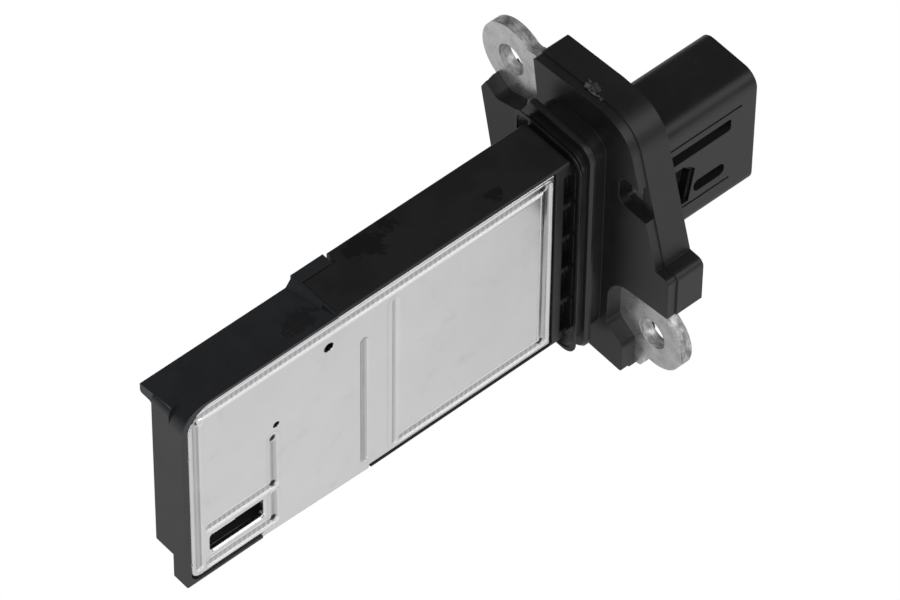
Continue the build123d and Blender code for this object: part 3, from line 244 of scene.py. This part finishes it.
class Nodes:
    """Short calls for building a procedural material or sky."""

    def __init__(self, tree, coords="Object"):
        self.tree = tree
        self.coords = tree.nodes.new("ShaderNodeTexCoord").outputs[coords]

    def link(self, source, target):
        """Joins the output of one node to a socket of another."""
        self.tree.links.new(source, target)

    def set(self, socket, value):
        """Gives a socket a value, or the output of another node."""
        if isinstance(value, bpy.types.NodeSocket):
            self.link(value, socket)
        else:
            socket.default_value = value

    def noise(self, scale, detail=3.0, roughness=0.55, stretch=None):
        """Cloudy noise from 0 to 1; its coordinates may be stretched along x, y and z."""
        node = self.tree.nodes.new("ShaderNodeTexNoise")
        node.inputs["Scale"].default_value = scale
        node.inputs["Detail"].default_value = detail
        node.inputs["Roughness"].default_value = roughness
        vector = self.coords
        if stretch:
            mapping = self.tree.nodes.new("ShaderNodeMapping")
            mapping.inputs["Scale"].default_value = stretch
            self.link(self.coords, mapping.inputs["Vector"])
            vector = mapping.outputs["Vector"]
        self.link(vector, node.inputs["Vector"])
        return node.outputs["Fac"]

    def ramp(self, value, stops):
        """Maps a value through (position, grey or colour) stops."""
        node = self.tree.nodes.new("ShaderNodeValToRGB")
        elements = node.color_ramp.elements
        while len(elements) < len(stops):
            elements.new(0.5)
        for element, (position, colour) in zip(elements, stops):
            element.position = position
            if not isinstance(colour, tuple):
                colour = grey(colour)
            element.color = (*colour, 1.0)
        self.link(value, node.inputs["Fac"])
        return node.outputs["Color"]

    def blend(self, factor, low, high):
        """Mixes two colours: the low one where the factor is 0, the high one where it is 1."""
        node = self.tree.nodes.new("ShaderNodeMix")
        node.data_type = "RGBA"
        self.set(node.inputs["Factor"], factor)
        for socket, value in (("A", low), ("B", high)):
            target = [s for s in node.inputs if s.name == socket and s.type == "RGBA"][0]
            self.set(target, value if isinstance(value, bpy.types.NodeSocket) else (*value, 1.0))
        return [s for s in node.outputs if s.type == "RGBA"][0]

    def calc(self, operation, first, second=0.0):
        """One step of arithmetic."""
        node = self.tree.nodes.new("ShaderNodeMath")
        node.operation = operation
        self.set(node.inputs[0], first)
        self.set(node.inputs[1], second)
        return node.outputs["Value"]

    def split(self, vector):
        """The x, y and z of a vector."""
        node = self.tree.nodes.new("ShaderNodeSeparateXYZ")
        self.link(vector, node.inputs["Vector"])
        return node.outputs["X"], node.outputs["Y"], node.outputs["Z"]

    def measure(self, operation, vector):
        """One number from the coordinates and a fixed vector, such as their distance."""
        node = self.tree.nodes.new("ShaderNodeVectorMath")
        node.operation = operation
        self.link(self.coords, node.inputs[0])
        node.inputs[1].default_value = vector
        return node.outputs["Value"]

    def near(self, place, reach):
        """1 at a place, falling to 0 at a distance from it, both in metres."""
        share = self.calc("DIVIDE", self.measure("DISTANCE", place), reach)
        return self.ramp(share, [(0.0, 1.0), (1.0, 0.0)])

    def edge(self, radius):
        """The surface normal, rounded over the sharp edges."""
        node = self.tree.nodes.new("ShaderNodeBevel")
        node.samples = EDGE_SAMPLES
        node.inputs["Radius"].default_value = radius
        return node.outputs["Normal"]

    def bump(self, height, distance, strength, normal=None):
        """The surface normal, or another one, bumped by a height."""
        node = self.tree.nodes.new("ShaderNodeBump")
        node.inputs["Distance"].default_value = distance
        node.inputs["Strength"].default_value = strength
        self.link(height, node.inputs["Height"])
        if normal:
            self.link(normal, node.inputs["Normal"])
        return node.outputs["Normal"]


def black_plastic(name, bloom_colour, clean_colour, edge, marks):
    """Glass-filled black plastic: a dull bloom with cleaner, glossier patches, fine grain, pale specks.

    Near each mark, (x, y, z, reach) in millimetres, the bloom is rubbed off in dark smudges."""
    mat, tree, shader = material(name)
    n = Nodes(tree)
    bloom = n.ramp(n.noise(scale=125, detail=6, roughness=0.62), [(0.42, 0.60), (0.54, 1.0)])
    blotches = n.noise(scale=560, detail=5, roughness=0.7)
    for x, y, z, reach in marks:
        spot = n.near((x * MM, y * MM, z * MM), reach * MM)
        kept = n.ramp(n.calc("MULTIPLY", blotches, spot), [(0.31, 1.0), (0.34, 0.0)])
        bloom = n.calc("MULTIPLY", bloom, kept)
    clouds = n.noise(scale=300, detail=4, roughness=0.6)
    specks = n.ramp(n.noise(scale=2300, detail=1, roughness=0.4), [(0.80, 0.0), (0.84, 1.0)])
    base = n.blend(bloom, clean_colour, bloom_colour)
    n.set(shader.inputs["Base Color"], n.blend(specks, base, SPECK))
    dullness = n.blend(bloom, grey(CLEAN_ROUGHNESS), grey(BLOOM_ROUGHNESS))
    n.set(shader.inputs["Roughness"], n.blend(clouds, dullness, grey(CLOUD_ROUGHNESS)))
    shader.inputs["IOR"].default_value = PLASTIC_IOR
    fine = n.noise(scale=5200, detail=2, roughness=0.5)
    grain = n.bump(fine, distance=0.02 * MM, strength=0.4, normal=n.edge(edge))
    n.set(shader.inputs["Normal"], n.bump(clouds, distance=0.04 * MM, strength=0.25, normal=grain))
    return mat


def painted_bead_shade(n, base):
    """A sheet's colour with painted shade by depth: chattered grey at the beads' bottom, dark at the press
    marks.
    """
    along, across = n.split(n.coords)[:2]
    # A chatter wave across the painted shade of the beads' bottoms
    wave = n.calc("SINE", n.calc("MULTIPLY", along, 2 * math.pi / CHATTER_PITCH))
    wave = n.calc("MULTIPLY", n.calc("ADD", wave, 1.0), n.noise(scale=260))
    chatter_and_painted_shade = n.ramp(wave, [(0.2, CHATTER_AND_SHADE_PALE), (1.0, CHATTER_AND_SHADE_DARK)])
    depth = n.calc("SUBTRACT", across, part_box("base_plate")[0].y)
    share = n.calc("DIVIDE", depth, PAINTED_SHADE_DEPTH)
    # Painted shade: grey in the beads' bottoms, near black at the press marks
    bottom = n.ramp(share, [(0.19, 0.0), (0.31, 1.0)])
    painted_mark_shade = n.ramp(share, [(0.46, 0.0), (0.60, 1.0)])
    return n.blend(painted_mark_shade, n.blend(bottom, base, chatter_and_painted_shade), grey(PRESS_MARK_PAINTED_SHADE))


def pressed_aluminium(name, beaded=False):
    """Bright rolled sheet with faint stains; beaded, it gets painted shade by depth as well."""
    mat, tree, shader = material(name)
    n = Nodes(tree)
    smears = n.noise(scale=75, detail=5, roughness=0.6)
    stains = n.ramp(n.noise(scale=330, detail=5, roughness=0.7), [(0.56, 0.0), (0.80, 0.3)])
    base = n.blend(stains, n.ramp(smears, [(0.3, SHEET_DARK), (0.7, SHEET_PALE)]), SHEET_STAIN)
    n.set(shader.inputs["Base Color"], painted_bead_shade(n, base) if beaded else base)
    shader.inputs["Metallic"].default_value = 1.0
    n.set(shader.inputs["Roughness"], n.ramp(smears, [(0.3, 0.17), (0.7, 0.25)]))
    lines = n.noise(scale=800, detail=3, roughness=0.6, stretch=(0.06, 1.0, 1.0))
    rolled = n.bump(lines, distance=0.003 * MM, strength=0.5, normal=n.edge(SHEET_EDGE))
    n.set(shader.inputs["Normal"], n.bump(smears, distance=0.03 * MM, strength=0.3, normal=rolled))
    return mat


def zinc_steel(name):
    """Stamped steel under dull zinc: a mottled, pitted face, and duller streaks on its sheared edges."""
    mat, tree, shader = material(name)
    n = Nodes(tree)
    geometry = tree.nodes.new("ShaderNodeNewGeometry")
    facing = n.calc("ABSOLUTE", n.split(geometry.outputs["True Normal"])[0])
    sheared = n.calc("LESS_THAN", facing, FACE_NORMAL_X)
    mottle = n.noise(scale=620, detail=5, roughness=0.68)
    pits = n.ramp(n.noise(scale=1500, detail=2, roughness=0.5), [(0.68, 0.0), (0.74, 0.5)])
    face = n.blend(pits, n.ramp(mottle, [(0.32, ZINC_DARK), (0.70, ZINC_PALE)]), ZINC_PIT)
    streaks = n.noise(scale=620, detail=5, roughness=0.68, stretch=(2.4, 1.0, 1.0))
    edge = n.ramp(streaks, [(0.34, SHEARED_DARK), (0.5, SHEARED_MIDDLE), (0.64, SHEARED_PALE)])
    n.set(shader.inputs["Base Color"], n.blend(sheared, face, edge))
    loss = n.calc("MULTIPLY", sheared, SHEARED_METALLIC_LOSS)
    n.set(shader.inputs["Metallic"], n.calc("SUBTRACT", ZINC_METALLIC, loss))
    rough = n.ramp(mottle, [(0.3, 0.24), (0.7, 0.36)])
    gain = n.calc("MULTIPLY", sheared, SHEARED_ROUGHNESS_GAIN)
    n.set(shader.inputs["Roughness"], n.calc("ADD", rough, gain))
    worn = n.bump(mottle, distance=0.015 * MM, strength=0.4, normal=n.edge(SHEARED_EDGE))
    torn = n.calc("MULTIPLY", streaks, sheared)
    n.set(shader.inputs["Normal"], n.bump(torn, distance=0.05 * MM, strength=0.5, normal=worn))
    return mat


def black_rubber(name):
    """Moulded rubber, clouded and a little dusty, with rounded lips."""
    mat, tree, shader = material(name)
    n = Nodes(tree)
    clouds = n.noise(scale=300, detail=4, roughness=0.6)
    dust = n.ramp(n.noise(scale=1900, detail=3, roughness=0.6), [(0.66, 0.0), (0.78, 0.6)])
    base = n.ramp(clouds, [(0.3, RUBBER_DARK), (0.75, RUBBER_PALE)])
    n.set(shader.inputs["Base Color"], n.blend(dust, base, RUBBER_DUST))
    n.set(shader.inputs["Roughness"], n.ramp(clouds, [(0.3, 0.30), (0.7, 0.45)]))
    fine = n.noise(scale=3000, detail=2)
    n.set(shader.inputs["Normal"], n.bump(fine, distance=0.02 * MM, strength=0.5, normal=n.edge(LIP_EDGE)))
    return mat


def torn_plastic(name):
    """The pale, rough inside of the plastic where the moulding gate broke off."""
    mat, tree, shader = material(name)
    n = Nodes(tree)
    flakes = n.noise(scale=1700, detail=5, roughness=0.7)
    base = n.ramp(flakes, [(0.35, TORN_DARK), (0.52, TORN_MIDDLE), (0.66, TORN_PALE)])
    n.set(shader.inputs["Base Color"], base)
    n.set(shader.inputs["Roughness"], n.ramp(flakes, [(0.3, 0.35), (0.7, 0.7)]))
    n.set(shader.inputs["Normal"], n.bump(flakes, distance=0.12 * MM, strength=0.9))
    return mat


def inner_finish(name):
    """A small inner part: its colour and roughness wander a little over the surface."""
    colour, roughness, metallic = INNER_FINISHES[name]
    mat, tree, shader = material(name)
    n = Nodes(tree)
    wander = n.noise(scale=600)
    low = tuple(c * (1 - COLOUR_SPREAD) for c in colour)
    high = tuple(min(1.0, c * (1 + COLOUR_SPREAD)) for c in colour)
    n.set(shader.inputs["Base Color"], n.ramp(wander, [(0.3, low), (0.7, high)]))
    smooth = roughness * (1 - ROUGHNESS_SPREAD)
    rough = roughness * (1 + ROUGHNESS_SPREAD)
    n.set(shader.inputs["Roughness"], n.ramp(wander, [(0.3, smooth), (0.7, rough)]))
    shader.inputs["Metallic"].default_value = metallic
    n.set(shader.inputs["Normal"], n.bump(wander, distance=0.01 * MM, strength=0.3))
    return mat


def dress_nodes():
    """Gives every node of the frame its finish; the terminals and pins are tinned contacts."""
    inner = {name: inner_finish(name) for name in INNER_FINISHES}
    probe = black_plastic("black_plastic_housing", HOUSING_BLOOM, HOUSING_CLEAN, HOUSING_EDGE, PROBE_MARKS)
    tip = black_plastic("black_plastic_tip", TIP_BLOOM, TIP_CLEAN, TIP_EDGE, TIP_MARKS)
    finishes = {
        "housing": probe,
        "circuit_cover": probe,
        "bypass_frame": tip,
        "bypass_cover": tip,
        "mounting_plate": zinc_steel("zinc_steel"),
        "flange_seal": black_rubber("black_rubber"),
        "base_plate": pressed_aluminium("pressed_aluminium"),
        "plate_sealant": inner["cured_silicone"],
        "cover_sealant": inner["cured_silicone"],
        "board_glue": inner["cured_silicone"],
        "circuit_board": inner["fired_alumina"],
        "control_chip": inner["chip_resin"],
        "power_transistor": inner["chip_resin"],
        "capacitors": inner["capacitor_ceramic"],
        "resistors": inner["resistor_film"],
        "terminal_leads": inner["drawn_ribbon"],
        "sensor_leads": inner["drawn_ribbon"],
        "heating_resistor": inner["glass_coat"],
        "temperature_resistor": inner["glass_coat"],
        "intake_thermistor": inner["glass_coat"],
    }
    for name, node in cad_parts.items():
        finish = finishes.get(name, inner["tinned_contact"])
        for slot in node.material_slots:
            slot.material = finish


def add_piece(name, points, faces, mat):
    """A mesh piece in millimetres that belongs to the part."""
    mesh = bpy.data.meshes.new(name)
    mesh.from_pydata([Vector(point) * MM for point in points], [], faces)
    mesh.shade_smooth()
    mesh.materials.append(mat)
    piece = bpy.data.objects.new(name, mesh)
    bpy.context.scene.collection.objects.link(piece)
    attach(piece, "root")


def distance_to_line(x, z, line):
    """Distance of a point from a stretch of line, with its ends."""
    x0, z0, x1, z1 = line
    along = ((x - x0) * (x1 - x0) + (z - z0) * (z1 - z0)) / ((x1 - x0) ** 2 + (z1 - z0) ** 2)
    along = min(1.0, max(0.0, along))
    return math.hypot(x - x0 - along * (x1 - x0), z - z0 - along * (z1 - z0))


def rounded(share):
    """Falls smoothly from 1 at 0 to 0 at 1."""
    return (1 + math.cos(math.pi * min(1.0, max(0.0, share)))) / 2


def section_depth(far, section):
    """Depth of a flat-bottomed valley with raised lips at a distance from its middle line."""
    reach, bottom, fall, lip = section
    valley = fall * rounded((far - bottom) / (reach - bottom))
    return valley - lip * rounded(abs(far - reach) / BEAD_LIP_REACH)


def bead_depth(x, z):
    """Depth of the pressed beads at a point of the plate's face; none away from them."""
    beyond_x, beyond_z = PLATE_CORNER[0] - x, z - PLATE_CORNER[1]
    if min(beyond_x, beyond_z) > 0 and math.hypot(beyond_x, beyond_z) > PLATE_CORNER_REACH:
        return None
    depths = []
    for line, section in PRESSED_LINES:
        half_width, lip = section[0], section[3]
        far = distance_to_line(x, z, line)
        if far < half_width + (BEAD_LIP_REACH if lip else BEAD_CELL / 2):
            depths.append(section_depth(far, section))
    if not depths and math.hypot(x - CORNER_FLAT[0], z - CORNER_FLAT[1]) < CORNER_FLAT_REACH:
        depths.append(0.0)
    if not depths:
        return None
    nearest = min(math.hypot(x - mark_x, z - mark_z) for mark_x, mark_z in PRESS_MARKS)
    return max(depths) + PRESS_DEPTH * rounded(nearest / PRESS_REACH)


def add_bead_skin(mat):
    """The rounded valleys that the press drew along the beads, as one fine height field."""
    low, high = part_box("base_plate")
    outer_y = low.y / MM
    columns = range(math.ceil(low.x / MM / BEAD_CELL), math.floor(high.x / MM / BEAD_CELL) + 1)
    rows = range(math.ceil(low.z / MM / BEAD_CELL), math.floor(high.z / MM / BEAD_CELL) + 1)
    depths = {}
    for i in columns:
        for k in rows:
            depth = bead_depth(i * BEAD_CELL, k * BEAD_CELL)
            if depth is not None:
                depths[i, k] = depth
    order = {place: number for number, place in enumerate(depths)}
    points = []
    for (i, k), depth in depths.items():
        points.append((i * BEAD_CELL, outer_y - BEAD_LIFT + depth, k * BEAD_CELL))
    faces = []
    for i, k in depths:
        square = [(i, k), (i + 1, k), (i + 1, k + 1), (i, k + 1)]
        if all(corner in order for corner in square):
            faces.append([order[corner] for corner in square])
    add_piece("plate_bead_skin", points, faces, mat)


def add_gate_mark(mat):
    """The torn stub of the moulding gate, which keeps below the flange's highest line."""
    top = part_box("housing")[1].z / MM - GATE_BELOW_CROWN
    ball = bmesh.new()
    bmesh.ops.create_icosphere(ball, subdivisions=GATE_SUBDIVISIONS, radius=1.0)
    points = []
    for vert in ball.verts:
        way = vert.co.copy()
        lump_place = way * GATE_LUMPS + GATE_LUMP_START
        lumps = noise.fractal(lump_place, GATE_LUMP_FALLOFF, GATE_LUMP_STEP, GATE_LUMP_LEVELS)
        cracks = abs(noise.noise(way * GATE_CRACKS + GATE_CRACK_START))
        scale = 1 + GATE_LUMP_DEPTH * lumps - GATE_CRACK_DEPTH * cracks
        point = GATE_MIDDLE + Vector(way[axis] * GATE_HALF[axis] * scale for axis in range(3))
        points.append((point.x, point.y, min(point.z, top)))
    faces = [[vert.index for vert in face.verts] for face in ball.faces]
    ball.free()
    add_piece("broken_gate_mark", points, faces, mat)


def painted_floor_reflection(n, z):
    """The painted reflection that metal and gloss see in a floor at a height, with painted shade and
    shadows.
    """
    x, y = n.split(n.coords)[:2]
    low_x, high_x = PAINTED_REFLECTION_ALONG_X[0][0], PAINTED_REFLECTION_ALONG_X[-1][0]
    share = n.calc("DIVIDE", n.calc("SUBTRACT", x, low_x), high_x - low_x)
    painted_reflection = n.ramp(share, [((stop - low_x) / (high_x - low_x), level) for stop, level in PAINTED_REFLECTION_ALONG_X])
    # Painted light: paler towards the front
    ahead = n.calc("DIVIDE", n.calc("SUBTRACT", FRONT_Y, y), FRONT_FADE)
    painted_reflection = n.blend(ahead, painted_reflection, grey(PAINTED_FRONT_LIGHT))
    # Painted shadows: darker in spots
    for spot_x, spot_y, reach, level in PAINTED_SHADOW_SPOTS:
        painted_reflection = n.blend(n.near((spot_x, spot_y, z), reach), painted_reflection, grey(level))
    return painted_reflection


def add_floor():
    """A pale floor well below the held part, white to the camera and a greyer painted reflection in metal
    and gloss.
    """
    mesh = bpy.data.meshes.new("floor")
    half = FLOOR_SIZE / 2
    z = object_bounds()[0].z - FLOOR_DROP
    corners = [(-half, -half, z), (half, -half, z), (half, half, z), (-half, half, z)]
    mesh.from_pydata(corners, [], [(0, 1, 2, 3)])
    floor = bpy.data.objects.new("floor", mesh)
    bpy.context.scene.collection.objects.link(floor)
    mat, tree, shader = material("floor")
    shader.inputs["Base Color"].default_value = (*FLOOR_COLOUR, 1.0)
    shader.inputs["Roughness"].default_value = FLOOR_ROUGHNESS
    n = Nodes(tree)
    white_and_painted_reflection = tree.nodes.new("ShaderNodeEmission")
    path = tree.nodes.new("ShaderNodeLightPath")
    # The floor glows: white to the camera, and to glossy rays a painted reflection with painted shade and
    # shadows
    n.set(white_and_painted_reflection.inputs["Color"], n.blend(path.outputs["Is Camera Ray"], painted_floor_reflection(n, z), WHITE))
    seen = n.calc("MAXIMUM", path.outputs["Is Camera Ray"], path.outputs["Is Glossy Ray"])
    mix = tree.nodes.new("ShaderNodeMixShader")
    n.link(seen, mix.inputs["Fac"])
    n.link(shader.outputs["BSDF"], mix.inputs[1])
    n.link(white_and_painted_reflection.outputs["Emission"], mix.inputs[2])
    n.link(mix.outputs["Shader"], tree.nodes["Material Output"].inputs["Surface"])
    mesh.materials.append(mat)


def add_world():
    """White behind the part; for the light, pale in front and below and dim up behind."""
    world = bpy.data.worlds.new("studio")
    bpy.context.scene.world = world
    world.use_nodes = True
    tree = world.node_tree
    n = Nodes(tree, "Generated")
    share = tree.nodes.new("ShaderNodeMapRange")
    share.inputs["From Min"].default_value = -1.0
    n.link(n.measure("DOT_PRODUCT", SKY_BRIGHT_WAY), share.inputs["Value"])
    sky = n.ramp(share.outputs["Result"], SKY_STOPS)
    path = tree.nodes.new("ShaderNodeLightPath")
    background = tree.nodes["Background"]
    n.set(background.inputs["Color"], n.blend(path.outputs["Is Camera Ray"], sky, WHITE))
    background.inputs["Strength"].default_value = 1.0


def add_lamp(name, place, width, height, power):
    """A soft rectangular lamp at a place in metres, turned towards the part."""
    data = bpy.data.lights.new(name, "AREA")
    data.shape = "RECTANGLE"
    data.size = width
    data.size_y = height
    data.energy = power
    lamp = bpy.data.objects.new(name, data)
    bpy.context.scene.collection.objects.link(lamp)
    lamp.location = place
    lamp.rotation_mode = "QUATERNION"
    lamp.rotation_quaternion = (-Vector(place)).to_track_quat("-Z", "Y")


def add_camera():
    """The photograph's camera: a long lens, looking down at the flat side from the tip's end."""
    data = bpy.data.cameras.new("camera")
    data.lens = CAMERA_LENS
    data.sensor_width = SENSOR_WIDTH
    data.clip_start = CAMERA_NEAR
    data.clip_end = CAMERA_FAR
    camera = bpy.data.objects.new("camera", data)
    bpy.context.scene.collection.objects.link(camera)
    turn = math.radians(CAMERA_AZIMUTH)
    rise = math.radians(CAMERA_ELEVATION)
    back = Vector((math.sin(turn) * math.cos(rise), -math.cos(turn) * math.cos(rise), math.sin(rise)))
    camera.location = CAMERA_TARGET + back * CAMERA_DISTANCE
    look = (-back).to_track_quat("-Z", "Y").to_matrix().to_4x4()
    roll = Matrix.Rotation(math.radians(CAMERA_ROLL), 4, "Z")
    camera.rotation_mode = "QUATERNION"
    camera.rotation_quaternion = (look @ roll).to_quaternion()
    bpy.context.scene.camera = camera


dress_nodes()
add_bead_skin(pressed_aluminium("beaded_aluminium_painted_shade", beaded=True))
add_gate_mark(torn_plastic("torn_plastic"))
add_floor()
add_world()
for lamp in LAMPS:
    add_lamp(*lamp)
add_camera()
bpy.context.scene.view_settings.view_transform = "Standard"
